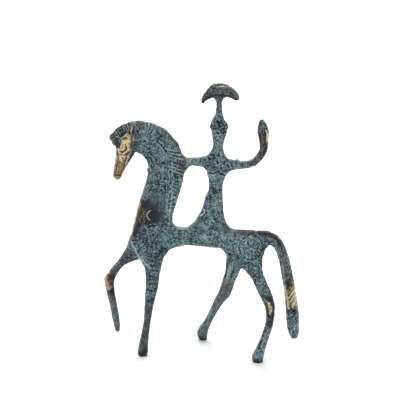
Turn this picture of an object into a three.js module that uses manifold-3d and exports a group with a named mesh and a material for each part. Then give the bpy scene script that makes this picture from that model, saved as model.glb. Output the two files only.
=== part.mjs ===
// A bronze statuette of a walking horse that carries a standing rider, cast in one flat piece.
// It stands on three hooves: one foreleg is raised. The rider holds the mane with one hand and
// lifts the other, and wears a helmet with a crescent crest on a thin stalk.
// Millimetres, +Z up. The horse faces -X, and its left side, the side most seen, faces -Y.
// The origin is on the ground, under the middle of the whole figure.
import * as THREE from "three";
import { mergeVertices } from "three/addons/utils/BufferGeometryUtils.js";
import Module from "manifold-3d";

const wasm = await Module();
wasm.setup();

// Driving dimensions of the casting.
const NEAR_STANCE = 17; // from the middle plane out to the middle of the near hind hoof
const FAR_STANCE = 15; // from the middle plane out to the middle of the far hind hoof
const FORE_STANCE = 8; // from the middle plane out to the middle of the standing fore hoof
const RAISED_OFFSET = 5; // from the middle plane back to the raised foreleg
const LEG_TOP = 64; // height at which the legs leave the trunk
const BODY_HALF = 4.6; // half the thickness of the trunk
const NECK_HALF = 4.1; // half the thickness of the flat neck
const RIDER_HALF = 3.6; // half the thickness of the rider's body

// How closely the surfaces are cut up.
const RING_STEP = 4.9; // distance between the rings of a limb
const SIDES = 10; // sides of a round limb
const FLAT_SIDES = 14; // sides of a flat limb
const WEB_SIDES = 6; // sides of a web in a corner
const ROUND = 2; // exponent of a round section
const FLAT = 2.8; // exponent of a flat section with rounded edges
const FLOOR_BLOCK = 200; // side of the block that trims the soles level

// The incised lines.
const LINE_HALF = 0.6; // half the width of an incised line, and its depth
const LINE_SIDES = 5; // sides of the tool that cuts it
const LINE_STEP = 3.7; // distance between the places where a line meets the skin
const LOCK_COUNT = 14; // locks of the mane
const FORELOCK_COUNT = 6; // strokes of the forelock
const HAUNCH_RADIUS = 6.4; // ring on the haunch
const TAIL_STROKES = 6; // slanting strokes on the tail
const TAIL_LEAN = -0.34; // how far a stroke rises to the back, as a share of the line's length
const SKIN_REACH = 60; // distance from which the skin is looked for
const NEAR = -1; // the side of the horse's left flank
const FAR = 1; // the other side

// One rib of a limb: its middle (x, z), half its width, half its thickness and its depth y.
const rib = (x, z, width, thick, y = 0) => ({ x, z, width, thick, y });

// The depth of a leg that slants outward from the trunk to its hoof.
const splay = (z, start, end) => start + (end - start) * (1 - z / LEG_TOP);

// A superellipse: a circle at exponent 2, a rounded oblong above it.
function outlinePoint(angle, exponent) {
  const bend = (v) => Math.sign(v) * Math.abs(v) ** (2 / exponent);
  return [bend(Math.cos(angle)), bend(Math.sin(angle))];
}

// The smooth run of rings through the ribs, with a domed end before and after.
function ringsThrough(ribs, step, domeRings) {
  const place = new THREE.CatmullRomCurve3(ribs.map((r) => new THREE.Vector3(r.x, r.y, r.z)));
  const size = new THREE.CatmullRomCurve3(
    ribs.map((r) => new THREE.Vector3(r.width, r.thick, 0)),
    false,
    "catmullrom",
  );
  const at = (u) => {
    const { x: width, y: thick } = size.getPoint(u);
    return { centre: place.getPoint(u), width, thick, along: place.getTangent(u).setY(0).normalize() };
  };
  const spans = ribs.length - 1;
  const rings = [at(0)];
  for (let i = 0; i < spans; i++) {
    const length = Math.hypot(ribs[i + 1].x - ribs[i].x, ribs[i + 1].z - ribs[i].z);
    const count = Math.max(1, Math.round(length / step));
    for (let k = 1; k <= count; k++) rings.push(at((i + k / count) / spans));
  }
  return [...dome(rings[0], -1, domeRings).reverse(), ...rings, ...dome(rings.at(-1), 1, domeRings)];
}

// Smaller and smaller rings beyond an end ring, on a quarter circle.
function dome(ring, way, count) {
  const reach = Math.min(ring.width, ring.thick);
  return Array.from({ length: count }, (_, k) => {
    const turn = ((k + 1) / (count + 1)) * (Math.PI / 2);
    return {
      centre: ring.centre.clone().addScaledVector(ring.along, way * reach * Math.sin(turn)),
      width: ring.width * Math.cos(turn),
      thick: ring.thick * Math.cos(turn),
      along: ring.along,
    };
  });
}

// A closed limb through its ribs. Its sections stand across the line of the limb.
function limb(ribs, { exponent = ROUND, sides = SIDES, step = RING_STEP, domeRings = 2 } = {}) {
  const rings = ringsThrough(ribs, step, domeRings);
  const position = [];
  const index = [];
  for (const { centre, width, thick, along } of rings) {
    for (let s = 0; s < sides; s++) {
      const [across, deep] = outlinePoint((s / sides) * 2 * Math.PI, exponent);
      position.push(
        centre.x - along.z * across * width,
        centre.y + deep * thick,
        centre.z + along.x * across * width,
      );
    }
  }
  const first = rings.length * sides;
  const last = first - sides;
  for (const end of [rings[0], rings.at(-1)]) position.push(...end.centre.toArray());
  for (let s = 0; s < sides; s++) {
    const t = (s + 1) % sides;
    index.push(first, s, t, first + 1, last + t, last + s);
    for (let a = 0; a < last; a += sides) {
      const b = a + sides;
      index.push(a + s, b + t, a + t, a + s, b + s, b + t);
    }
  }
  return new THREE.BufferGeometry()
    .setAttribute("position", new THREE.Float32BufferAttribute(position, 3))
    .setIndex(index);
}

// The neck rises from the chest and bends over into the poll, as flat as the trunk.
function neck() {
  return limb(
    [
      rib(-28.6, 59, 9.6, NECK_HALF),
      rib(-28, 65.5, 11.5, NECK_HALF + 0.6),
      rib(-27.4, 70.7, 10.9, NECK_HALF + 0.5),
      rib(-26.5, 76, 10.6, NECK_HALF + 0.3),
      rib(-25.8, 81.2, 9.9, NECK_HALF),
      rib(-22.9, 91, 9.7, NECK_HALF),
      rib(-20, 101, 9.7, NECK_HALF),
      rib(-19.2, 110.2, 9.9, NECK_HALF),
      rib(-21.4, 116.3, 9.8, NECK_HALF),
      rib(-25.6, 121.4, 9.6, NECK_HALF - 0.2),
      rib(-30.4, 124, 9.1, NECK_HALF - 0.3),
      rib(-34.7, 124.9, 8.8, NECK_HALF - 0.4),
      rib(-38.5, 124.6, 8.4, NECK_HALF - 0.5),
    ],
    { exponent: FLAT, sides: FLAT_SIDES },
  );
}

// The long head hangs from the poll and tapers to the muzzle. The forelock juts over the brow.
function head() {
  return [
    limb([
      rib(-39.2, 125, 6.4, 3.6),
      rib(-41, 119.5, 5.9, 3.7),
      rib(-41.7, 115.6, 4.8, 3.5),
      rib(-43.1, 112, 3.9, 3.2),
      rib(-44.3, 108.6, 3.2, 2.8),
      rib(-45.4, 105.3, 2.7, 2.5),
      rib(-46, 102.6, 2.2, 2.2),
    ]),
    limb([
      rib(-37.5, 124.8, 8.4, 3.3),
      rib(-42.5, 124.8, 6.6, 3),
      rib(-45.6, 124.1, 5.5, 2.7),
      rib(-47.6, 124.3, 3.9, 2.2),
      rib(-48.7, 124.5, 1.9, 1.2),
    ]),
  ];
}

// The slim trunk, from the chest to the rump.
function trunk() {
  return limb(
    [
      rib(-30, 66, 8.5, BODY_HALF),
      rib(-22, 67.2, 7.6, BODY_HALF),
      rib(-15.5, 67.3, 5.8, BODY_HALF - 0.2),
      rib(-9, 67.8, 4.8, BODY_HALF - 0.4),
      rib(-1, 67.3, 4.8, BODY_HALF - 0.3),
      rib(7, 66.5, 5, BODY_HALF),
      rib(11.5, 66.5, 5.1, BODY_HALF + 0.2),
      rib(15.5, 65.4, 6.2, BODY_HALF + 0.4),
      rib(23, 63.6, 7.3, BODY_HALF + 0.9),
      rib(29.5, 63.8, 7.1, BODY_HALF + 0.4),
      rib(33.3, 65.2, 5, BODY_HALF - 1),
    ],
    { exponent: FLAT, sides: FLAT_SIDES },
  );
}

// The standing foreleg widens upward into the shoulder.
function standingForeleg() {
  const at = (x, z, width, thick) => rib(x, z, width, thick, splay(z, -1, -FORE_STANCE));
  return limb([
    at(-27.6, 67, 10, 4.2),
    at(-28.4, 61, 9.3, 4.4),
    at(-27.9, 57.8, 7.9, 4.3),
    at(-27.2, 54.2, 6.1, 4),
    at(-27, 50.5, 4.6, 3.7),
    at(-27.2, 45.6, 3.7, 3.3),
    at(-27.7, 38.7, 3.4, 3),
    at(-28.8, 31.9, 2.6, 2.6),
    at(-29.5, 27, 2.2, 2.3),
    at(-30.3, 19.7, 1.8, 2),
    at(-31.5, 12.5, 2, 2.1),
    at(-32.4, 6.8, 2.4, 2.6),
    at(-32.8, 3.6, 2.7, 2.8),
    at(-33, 1.4, 2.7, 2.8),
    at(-33, 0.1, 2.4, 2.5),
  ]);
}

// The raised foreleg reaches forward, bends sharply at the knee and hangs.
function raisedForeleg() {
  const y = (share) => 1 + (RAISED_OFFSET - 1) * share;
  return limb([
    rib(-33.5, 62.2, 8.2, 3.8, y(0)),
    rib(-38, 57.1, 4.9, 3.4, y(0.3)),
    rib(-42, 53.6, 2.9, 2.9, y(0.5)),
    rib(-44.9, 50.8, 2, 2.4, y(0.65)),
    rib(-47.9, 47.1, 2, 2.3, y(0.8)),
    rib(-50.2, 43.4, 2.3, 2.4, y(0.9)),
    rib(-51.8, 40.4, 2.9, 2.4, y(1)),
    rib(-51.7, 37.6, 2.4, 2.2, y(1)),
    rib(-50.9, 32, 2.1, 2.1, y(1)),
    rib(-49.6, 25, 1.9, 2, y(1)),
    rib(-48.6, 18, 1.9, 1.9, y(1)),
    rib(-47.8, 13, 1.6, 1.7, y(1)),
    rib(-47.5, 10, 1.1, 1.5, y(1)),
  ]);
}

// The near hind leg: a broad haunch, the hock and the hoof set back and outward.
function nearHindLeg() {
  const at = (x, z, width, thick) => rib(x, z, width, thick, splay(z, -1.5, -NEAR_STANCE));
  return limb([
    at(25, 64, 9.2, 4.6),
    at(26.3, 57.5, 8, 4.8),
    at(28.3, 52.5, 5.6, 4.6),
    at(29.4, 49.5, 4.4, 4.3),
    at(30.8, 46.4, 3.3, 3.9),
    at(33.7, 39.9, 3.3, 3.3),
    at(36.3, 34.6, 3.1, 2.9),
    at(37.8, 30, 2.6, 2.6),
    at(38.1, 25, 2.2, 2.4),
    at(37.3, 19.9, 2, 2.3),
    at(35.2, 13.4, 2, 2.2),
    at(33.4, 8.6, 2.2, 2.5),
    at(32, 5.2, 2.7, 2.9),
    at(31, 2.6, 3.1, 3),
    at(31.2, 0.1, 2.7, 2.8),
  ]);
}

// The far hind leg steps forward under the belly.
function farHindLeg() {
  const at = (x, z, width, thick) => rib(x, z, width, thick, splay(z, 1.5, FAR_STANCE));
  return limb([
    at(20.6, 63, 7.4, 4.6),
    at(19.7, 56.5, 5.9, 4.6),
    at(18.2, 50, 4.6, 4.2),
    at(16.8, 43.5, 3.6, 3.6),
    at(15.4, 39.5, 3.4, 3.3),
    at(14.3, 35, 3.4, 3),
    at(12.8, 30.4, 3.3, 2.8),
    at(10.1, 26.2, 2.6, 2.5),
    at(8.2, 22.2, 2.2, 2.3),
    at(6.4, 18.3, 2, 2.2),
    at(4.7, 14.4, 1.9, 2.2),
    at(2.9, 10.5, 2.1, 2.5),
    at(1.2, 7.2, 2.6, 2.8),
    at(0.4, 4.5, 3.1, 2.8),
    at(0.5, 2.2, 2.6, 2.5),
    at(1, 0.1, 2, 2.1),
  ]);
}

// The tail leaves the rump in a small arch and hangs almost to the ground.
function tail() {
  return limb([
    rib(31.5, 66.8, 4.1, 3.4),
    rib(36, 66.7, 4, 3),
    rib(39.8, 65.5, 3.3, 2.9),
    rib(42.3, 63.1, 2.8, 2.9),
    rib(44.3, 58.6, 2.7, 2.8),
    rib(45.7, 54.4, 2.8, 2.7),
    rib(47, 47.8, 2.9, 2.7),
    rib(48.4, 40.7, 3, 2.7),
    rib(49.6, 33.2, 3.2, 2.8),
    rib(50.5, 25.8, 3.4, 2.9),
    rib(51.1, 19.4, 3.5, 2.9),
    rib(51.4, 14.6, 3.4, 2.8),
    rib(51.8, 11, 2.9, 2.5),
    rib(52, 9, 2.3, 2.2),
  ]);
}

// The rider's body from the seat up to the shoulders, drawn in at the waist.
function torso() {
  return limb([
    rib(4.4, 70.2, 15.2, RIDER_HALF + 0.4),
    rib(4.6, 72.5, 11.6, RIDER_HALF + 0.5),
    rib(4.9, 75.3, 8.7, RIDER_HALF + 0.6),
    rib(5.7, 79.5, 6.7, RIDER_HALF + 0.5),
    rib(6.2, 84.1, 5.7, RIDER_HALF + 0.3),
    rib(6.8, 89.9, 4.7, RIDER_HALF),
    rib(7.6, 93.6, 3.8, RIDER_HALF - 0.4),
    rib(7.7, 97, 3.6, RIDER_HALF - 0.6),
    rib(8, 100.4, 4.1, RIDER_HALF - 0.3),
    rib(8.3, 104, 5.4, RIDER_HALF),
    rib(8.1, 109.2, 6.2, RIDER_HALF),
    rib(8.2, 112.6, 6.2, RIDER_HALF - 0.4),
    rib(8.5, 115, 4.1, RIDER_HALF - 0.8),
    rib(8.7, 117.6, 3, RIDER_HALF - 1.1),
    rib(8.9, 120.6, 2.5, RIDER_HALF - 1.1),
  ]);
}

// The rider's head is a lozenge. A thin stalk on top of it carries the crescent.
function riderHead() {
  return [
    limb(
      [
        rib(8.9, 119.5, 2.5, 2.5),
        rib(9.2, 124, 3.3, 2.8),
        rib(9.5, 127.4, 4.1, 3.1),
        rib(9.4, 130.7, 5.1, 3.2),
        rib(8.9, 134.1, 3.3, 2.8),
        rib(9.4, 137.4, 1.8, 1.9),
        rib(9.4, 140.8, 1.4, 1.5),
        rib(9.3, 144.1, 1.3, 1.6),
        rib(9.4, 146.2, 2.6, 1.8),
        rib(9.4, 147.6, 4.2, 2),
      ],
      { step: 2.5 },
    ),
    limb(
      [
        rib(0.6, 143.9, 0.7, 0.8),
        rib(1.2, 145.6, 1.3, 1.4),
        rib(3.7, 148.2, 2.3, 2),
        rib(6.8, 150.1, 3.7, 2.4),
        rib(9.9, 150.7, 3.8, 2.5),
        rib(13.4, 150.1, 3.3, 2.3),
        rib(16.6, 148.6, 2.4, 2),
        rib(18.2, 147.1, 1.9, 1.7),
        rib(18.8, 146, 1.4, 1.1),
      ],
      { step: 1.8 },
    ),
  ];
}

// One arm reaches level to the mane. The other bends up and ends in a raised hand.
function arms() {
  return [
    limb([
      rib(6.5, 109, 6, 3),
      rib(3, 110.4, 4.2, 2.8),
      rib(1, 110.6, 3, 2.6),
      rib(-2, 110.6, 2.3, 2.3),
      rib(-5.6, 110.7, 2.2, 2.3),
      rib(-7.6, 110.3, 2.6, 2.5),
      rib(-9.2, 110, 4.2, 2.6),
      rib(-10.8, 109.8, 6.6, 2.6),
    ]),
    limb([
      rib(9, 108.4, 6.2, 3),
      rib(12.6, 108.4, 5.7, 2.8),
      rib(14.2, 108.7, 3.9, 2.6),
      rib(16, 108.8, 3.1, 2.4),
      rib(19.1, 108.9, 2.5, 2.3),
      rib(22.4, 108.8, 2, 2.1),
      rib(25.6, 109.2, 1.9, 2.1),
      rib(28.5, 110.3, 2, 2.1),
      rib(31.7, 113.6, 1.9, 2),
      rib(33.5, 117.2, 2, 2),
      rib(33.7, 120.6, 2.2, 2.1),
      rib(33.5, 124.2, 2.7, 2.2),
      rib(33.2, 127.8, 3, 2.2),
      rib(32.8, 130.8, 2.5, 2),
      rib(32.5, 132.8, 1.6, 1.6),
    ]),
  ];
}

// Small webs that round the inner corners, where the metal of two limbs ran together.
function webs() {
  const corners = [
    [
      rib(-17.8, 77.6, 1.2, 3.4),
      rib(-16.8, 74.4, 1.3, 3.6),
      rib(-14.4, 71.6, 1.1, 3.8),
      rib(-8.8, 70.8, 1.2, 3.8),
      rib(-4.3, 73.6, 1.3, 3.8),
      rib(-1.4, 77.2, 1.3, 3.8),
      rib(1, 82.4, 1.2, 3.4),
    ],
    [rib(11.3, 79, 1, 3), rib(12.4, 74.6, 1.2, 3.4), rib(15, 71.3, 1.1, 3.6), rib(18, 70, 1, 3.6)],
    [rib(-14.8, 63.1, 1, 3.6), rib(-18.3, 61.2, 1.1, 3.6), rib(-20.9, 57.8, 1, 3.6, -1)],
    [rib(10.4, 62.3, 1, 3.6), rib(12.9, 60.4, 1.2, 3.6, 1), rib(14.5, 56.8, 1, 3.6, 2)],
    [rib(20.2, 49.7, 1.1, 3, 3), rib(22.9, 49.9, 1.2, 3), rib(25.6, 49.6, 1.1, 3, -3)],
    [rib(33.1, 57.6, 1, 3, -2), rib(34.1, 61, 1.1, 3, -1), rib(36.3, 63.7, 1, 2.6)],
  ];
  return corners.map((ribs) => limb(ribs, { sides: WEB_SIDES, step: RING_STEP * 2, domeRings: 1 }));
}

// The closed solid of a geometry whose shared points are merged.
function solidOf(geometry) {
  const bare = geometry.clone();
  bare.deleteAttribute("normal");
  bare.deleteAttribute("uv");
  const { attributes, index } = mergeVertices(bare);
  return new wasm.Manifold(
    new wasm.Mesh({
      numProp: 3,
      vertProperties: attributes.position.array,
      triVerts: new Uint32Array(index.array),
    }),
  );
}

// The geometry of a solid, with flat faces.
function geometryOf(solid) {
  const { vertProperties, triVerts } = solid.getMesh();
  const geometry = new THREE.BufferGeometry()
    .setAttribute("position", new THREE.BufferAttribute(vertProperties, 3))
    .setIndex(new THREE.BufferAttribute(triVerts, 1))
    .toNonIndexed();
  geometry.computeVertexNormals();
  return geometry;
}

const union = (solids) => solids.reduce((sum, next) => sum.add(next));

// All limbs run into one casting, trimmed level under the soles.
function plainCasting() {
  const below = new THREE.BoxGeometry(FLOOR_BLOCK, FLOOR_BLOCK, FLOOR_BLOCK);
  below.translate(0, 0, -FLOOR_BLOCK / 2);
  const limbs = [
    neck(),
    ...head(),
    trunk(),
    standingForeleg(),
    raisedForeleg(),
    nearHindLeg(),
    farHindLeg(),
    tail(),
    torso(),
    ...riderHead(),
    ...arms(),
    ...webs(),
  ];
  return union(limbs.map(solidOf)).subtract(solidOf(below));
}

// A curve in the upright plane, through points (x, z).
const drawn = (points) => new THREE.CatmullRomCurve3(points.map(([x, z]) => new THREE.Vector3(x, 0, z)));

// Strokes that join two drawn curves, at even shares of their length, leaning by a share.
function strokesBetween(from, to, count, lean) {
  const [a, b] = [drawn(from), drawn(to)];
  return Array.from({ length: count }, (_, i) => {
    const share = (i / (count - 1)) * (1 - Math.abs(lean));
    const [p, q] = [a.getPoint(share - Math.min(lean, 0)), b.getPoint(share + Math.max(lean, 0))];
    return [
      [p.x, p.z],
      [q.x, q.z],
    ];
  });
}

// The lines that part the mane from the neck and divide it into locks.
function maneLines() {
  const border = [[-18.4, 85], [-17.2, 92], [-17, 98], [-16.8, 105], [-16.9, 111.5]];
  border.push([-18.6, 117], [-22, 120.2], [-25.6, 122.6], [-29.8, 124.6], [-33, 129]);
  const rim = [[-15.6, 85], [-13.7, 92], [-12.3, 98], [-10.8, 105], [-11, 112]];
  rim.push([-13.5, 118.5], [-18, 125.5], [-24, 129.6], [-31, 132.4], [-34, 132.6]);
  return [border, ...strokesBetween(border, rim, LOCK_COUNT, 0.02)];
}

// The strokes of the forelock, the strap line behind the cheek, the eye and the mouth.
function headLines() {
  const brow = [[-38.4, 129.6], [-41.4, 127.4], [-43.8, 125.8], [-46, 124.6]];
  const rim = [[-39.2, 132.2], [-41.8, 130.9], [-44.4, 129.3], [-47.2, 126.6]];
  return [
    ...strokesBetween(brow, rim, FORELOCK_COUNT, 0),
    [[-35.4, 132.2], [-35.5, 124], [-36.4, 118.6]],
    [[-40.9, 125], [-39.7, 125.8]],
    [[-46.8, 103.8], [-44.8, 104.3]],
  ];
}

// The ring on the haunch.
function haunchRing() {
  const [x, z] = [27, 63.1];
  const turns = 14;
  return Array.from({ length: turns + 1 }, (_, i) => {
    const angle = (i / turns) * 2 * Math.PI * 0.985;
    return [x + HAUNCH_RADIUS * Math.cos(angle), z + HAUNCH_RADIUS * Math.sin(angle)];
  });
}

// The slanting strokes of the tail.
function tailLines() {
  const front = [[46.7, 41.5], [47.9, 30], [48.7, 20], [49.6, 13.5]];
  const back = [[50.6, 41.5], [52.1, 30], [53.1, 20], [53.2, 12]];
  return strokesBetween(front, back, TAIL_STROKES, TAIL_LEAN);
}

// The curved line under the rider's breast.
const breastLine = () => [[4.8, 105.8], [6.3, 104.6], [7.8, 105.1], [9, 104.2], [10.4, 104.9], [12.4, 105.6]];

// The tool that cuts one line: it follows the skin of the casting on one side.
function lineTool(points, skin, side) {
  const path = drawn(points);
  const count = Math.max(2, Math.ceil(path.getLength() / LINE_STEP));
  const ribs = path.getPoints(count).map(({ x, z }) => {
    const from = new THREE.Vector3(x, side * SKIN_REACH, z);
    const [hit] = new THREE.Raycaster(from, new THREE.Vector3(0, -side, 0)).intersectObject(skin);
    return rib(x, z, LINE_HALF, LINE_HALF, hit.point.y);
  });
  return limb(ribs, { sides: LINE_SIDES, step: LINE_STEP * 2, domeRings: 1 });
}

// The casting with its lines cut into both sides. The far side has only the broad ones.
function casting() {
  const plain = plainCasting();
  const skin = new THREE.Mesh(geometryOf(plain));
  const broad = [...maneLines(), haunchRing(), breastLine()];
  const tools = [
    ...[...broad, ...headLines(), ...tailLines()].map((points) => lineTool(points, skin, NEAR)),
    ...[broad[0], haunchRing()].map((points) => lineTool(points, skin, FAR)),
  ];
  return plain.subtract(union(tools.map(solidOf)));
}

const bronze = new THREE.MeshStandardMaterial({ color: 0x4d6163, roughness: 0.65, metalness: 0.7 });
const body = geometryOf(casting());
body.computeBoundingBox();
const middle = body.boundingBox.getCenter(new THREE.Vector3());
body.translate(-middle.x, -middle.y, 0);
const statuette = new THREE.Mesh(body, bronze);
statuette.name = "horse_and_rider";

const group = new THREE.Group();
group.add(statuette);
export default group;
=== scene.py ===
"""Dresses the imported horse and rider: an even skin with carved lines and cast relief,
verdigris with rubbed bronze, and a pale floor with soft light and the camera."""

import math

import bmesh
import bpy
import numpy as np
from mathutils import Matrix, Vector


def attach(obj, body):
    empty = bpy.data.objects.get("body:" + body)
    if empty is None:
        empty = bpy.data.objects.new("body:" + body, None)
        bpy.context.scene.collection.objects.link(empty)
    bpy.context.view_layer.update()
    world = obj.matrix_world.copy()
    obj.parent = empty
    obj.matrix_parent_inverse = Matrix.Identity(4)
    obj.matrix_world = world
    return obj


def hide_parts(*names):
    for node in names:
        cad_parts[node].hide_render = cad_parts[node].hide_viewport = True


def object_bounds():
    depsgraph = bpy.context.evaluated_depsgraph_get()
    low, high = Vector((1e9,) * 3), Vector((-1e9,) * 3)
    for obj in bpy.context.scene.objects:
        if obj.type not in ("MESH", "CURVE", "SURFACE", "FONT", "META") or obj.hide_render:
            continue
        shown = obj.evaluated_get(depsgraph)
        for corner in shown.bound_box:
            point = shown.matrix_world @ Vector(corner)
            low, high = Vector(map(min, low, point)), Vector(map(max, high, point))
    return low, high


bl_info = {
    "name": "Horse and rider bronze",
    "version": (1, 0, 0),
    "blender": (4, 5, 0),
    "location": "View3D > Sidebar > Bronze",
    "description": "Builds the patinated bronze horse and rider around its packed solid",
    "category": "Object",
}

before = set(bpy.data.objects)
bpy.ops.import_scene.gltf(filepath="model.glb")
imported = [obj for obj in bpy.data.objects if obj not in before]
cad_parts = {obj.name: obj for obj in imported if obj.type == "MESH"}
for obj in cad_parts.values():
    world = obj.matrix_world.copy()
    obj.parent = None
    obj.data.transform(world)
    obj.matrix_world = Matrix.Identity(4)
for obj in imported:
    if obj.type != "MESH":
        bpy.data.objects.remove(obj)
CAD_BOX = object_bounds()

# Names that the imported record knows
CAD_NODE = "horse_and_rider"
BODY = "root"
PIECE = "horse_and_rider_bronze"
FLOOR = "studio_floor"

MM = 0.001
NEAR, FAR, EITHER = -1, 1, 0  # sides of the casting, by the sign of their normal's y

# Shaping of the skin. Lengths in millimetres
MERGE_REACH = 0.001  # points of the solid closer than this become one
EASE_IN, EASE_OUT = 0.6, -0.62  # one round of easing: a step in and a longer one out
SWELL = 0.22  # even layer that makes up for what the easing takes off
LIP_REACH = 0.9  # from a cut line to the middle of the lip beside it
LIP_HALF = 0.42  # half width of that lip
DEEP_CUT = 0.4  # depth at which a cut counts as full
HIGH_CREST = 0.2  # height at which a raised stroke counts as full
LIP_ENDS = 0.25  # depth of cut at which nothing raised is left
SOLE_BAND = 0.16  # points lower than this are flat on the floor

# How far a face turns to the side, between two shares of its normal
BROAD_TURN = (0.15, 0.5)  # where lines are cut and raised
SIDE_TURN = (-0.1, 0.35)  # where one side's marks end
RIM_TURN = (0.35, 0.85)  # where the edge begins, counted from the flat side

# How calm the cast ground is: no marks at 1
CALM_BARE = (0.35, 0.6)
CALM_SOLE = (-0.4, -0.1)
CALM_ON_METAL, CALM_IN_CUT, CALM_SLEEK = 0.55, 0.5, 0.55

# Engraved lines, as (x, z) points in millimetres on the flat of the casting
MANE_BORDER = [(-18.4, 85), (-17.2, 92), (-17, 98), (-16.8, 105), (-16.9, 111.5),
               (-18.8, 116.8), (-21.7, 120.9), (-25.0, 123.6), (-29.2, 124.4), (-31, 129.7)]
MANE_CREASE = [(-19.2, 117.2), (-20.2, 118.8), (-21.7, 120.9), (-23.2, 122.4), (-25.0, 123.6),
               (-28.4, 124.1)]
MANE_FOLD = [(-24.3, 124.6), (-22.0, 125.8), (-19.8, 126.4)]
MANE_RIM = [(-15.0, 85), (-12.9, 92), (-11.4, 98), (-9.9, 105), (-10.0, 112),
            (-12.6, 119), (-17.3, 126.3), (-23.6, 130.6), (-31, 133.6), (-34, 133.9)]
BROW = [(-37.9, 130.4), (-40.2, 129.3), (-42.6, 127.9), (-45.0, 126.4), (-47.0, 124.0)]
FORELOCK_RIM = [(-39.0, 133.6), (-42.2, 132.1), (-45.2, 130.1), (-48.8, 126.2)]
STRAP = [(-35.8, 132.8), (-35.9, 127.4)]
CHEEK = [(-38.4, 128.0), (-37.8, 126.0), (-37.7, 122.3), (-38.3, 118.3)]
EYE = [(-42.4, 124.3), (-41.0, 125.4), (-40.1, 124.4), (-42.0, 124.2)]
CHEEK_MARKS = [
    [(-41.1, 121.6), (-40.9, 120.0), (-40.6, 118.7), (-41.9, 117.7), (-43.1, 117.0),
     (-44.2, 117.2)],
    [(-43.9, 115.9), (-43.1, 115.4)], [(-41.9, 115.4), (-40.7, 116.2), (-39.4, 117.0)],
]
JAW_LINES = [
    [(-45.4, 116.0), (-45.1, 112.6), (-46.1, 108.2), (-47.0, 104.4)],
    [(-43.0, 114.0), (-42.5, 112.0), (-43.8, 108.6), (-43.5, 106.4), (-44.8, 103.0)],
    [(-40.5, 115.5), (-41.7, 112.2), (-42.3, 109.4), (-43.8, 105.2)],
    [(-44.2, 111.4), (-44.9, 109.0), (-44.7, 107.2), (-45.6, 105.0)],
]
MOUTH = [(-47.0, 103.4), (-45.6, 103.9), (-44.6, 103.7)]
SHOULDER = [(-39.5, 66.9), (-35.7, 58.5), (-32.0, 54.6), (-28.1, 51.1)]
BREAST_CRACK = [(-29.6, 74.4), (-27.7, 75.1), (-25.7, 75.4)]
CHEST_SCRATCHES = [[(-28.3, 83.9), (-29.6, 82.6), (-30.2, 81.4)],
                   [(-30.1, 80.7), (-29.4, 79.7), (-28.4, 78.4)]]
LOOP_BURR = [(1.4, 84.0), (1.6, 82.8), (0.5, 81.4), (-0.7, 80.7)]
CHEST_EDGE = [(-34.3, 85.0), (-35.6, 80.0), (-36.8, 75.0), (-38.4, 69.6)]
THROAT_NICK = [(-29.6, 107.8), (-28.6, 107.0)]
BREAST_LINE = [(4.0, 105.0), (6.2, 104.8), (7.8, 105.4), (8.6, 106.2), (9.6, 104.9),
               (11.5, 104.3), (12.6, 103.4)]
BREAST_PITS = [[(3.6, 113.4), (4.4, 112.8)], [(8.3, 111.6), (8.8, 110.6)],
               [(14.0, 109.6), (14.6, 108.6)]]
HEAD_NOTCH = [(8.5, 134.2), (9.1, 132.6), (9.6, 130.9)]
CHIN_PIT = [(8.5, 128.0), (8.9, 127.2)]
MANE_RIDGE = [(-18.0, 76), (-17.6, 84), (-16.4, 92), (-16.2, 100), (-16.1, 108), (-16.3, 112)]
SKIRT_FOLD = [(3.2, 84.4), (4.2, 80.6), (7.6, 76.4)]
HAUNCH_CENTRE = (27.0, 63.1)
HAUNCH_RADIUS = 6.4
HIND_CREASE = [(18.7, 71.9), (17.4, 66.5), (17.2, 61.4), (18.9, 54.4)]
LEG_STROKES = [
    [(4.9, 21.4), (3.2, 15.8), (1.7, 11.3)], [(14.6, 51.0), (14.0, 46.0), (12.9, 41.6)],
    [(8.4, 31.0), (6.4, 26.6)], [(36.2, 21.4), (33.8, 14.0), (31.6, 7.7)],
    [(17.4, 47.0), (16.0, 41.0)],
]
LEG_RIBS = [
    [(5.9, 21.2), (2.9, 11.3)], [(15.8, 50.4), (14.2, 41.6)], [(34.8, 20.8), (30.4, 8.2)],
]
RUMP_LINE = [(20.5, 69.6), (23.7, 69.5), (27.5, 70.0), (30.9, 69.8)]
TAIL_FRONT = [(45.7, 44.5), (46.6, 37), (47.7, 30), (48.6, 20), (49.4, 12.5)]
TAIL_BACK = [(51.2, 44.5), (52.4, 37), (53.4, 30), (54.3, 20), (53.6, 12)]
TAIL_EDGE = [(44.8, 52.0), (45.6, 46.0), (46.6, 38.0), (47.4, 31.0)]
TAIL_GROOVES = [
    [(47.9, 39.4), (47.1, 37.3)], [(50.2, 39.4), (48.4, 36.0)], [(50.9, 37.8), (48.3, 33.6)],
    [(51.2, 34.7), (48.8, 31.0)], [(51.3, 32.4), (48.8, 27.6)], [(51.6, 30.4), (49.3, 26.4)],
    [(52.0, 28.2), (50.6, 25.6)], [(52.6, 26.6), (51.6, 24.6)],
]
TAIL_LOCKS = [
    [(51.8, 36.6), (50.0, 34.7), (48.7, 32.2)], [(51.4, 33.4), (49.7, 30.0), (48.5, 27.8)],
    [(52.0, 30.4), (50.2, 27.8)], [(52.2, 28.6), (50.4, 26.2)], [(53.2, 27.6), (52.2, 25.2)],
]
LOW_LOCKS = [
    [(52.8, 22.3), (51.0, 18.7), (49.2, 16.2)], [(53.4, 22.8), (53.9, 20.0), (53.9, 13.7)],
    [(52.7, 16.4), (51.5, 13.0)], [(50.5, 22.5), (49.1, 20.8)], [(52.6, 18.8), (50.4, 14.6)],
]
TAIL_HAIRS = [
    [(40.8, 62.6), (43.0, 57.6)], [(42.4, 62.8), (44.6, 56.2)], [(43.6, 56.0), (45.2, 49.6)],
    [(45.4, 55.6), (46.6, 49.8)], [(44.9, 48.0), (46.6, 43.2)], [(47.2, 48.6), (48.2, 43.6)],
]


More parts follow.
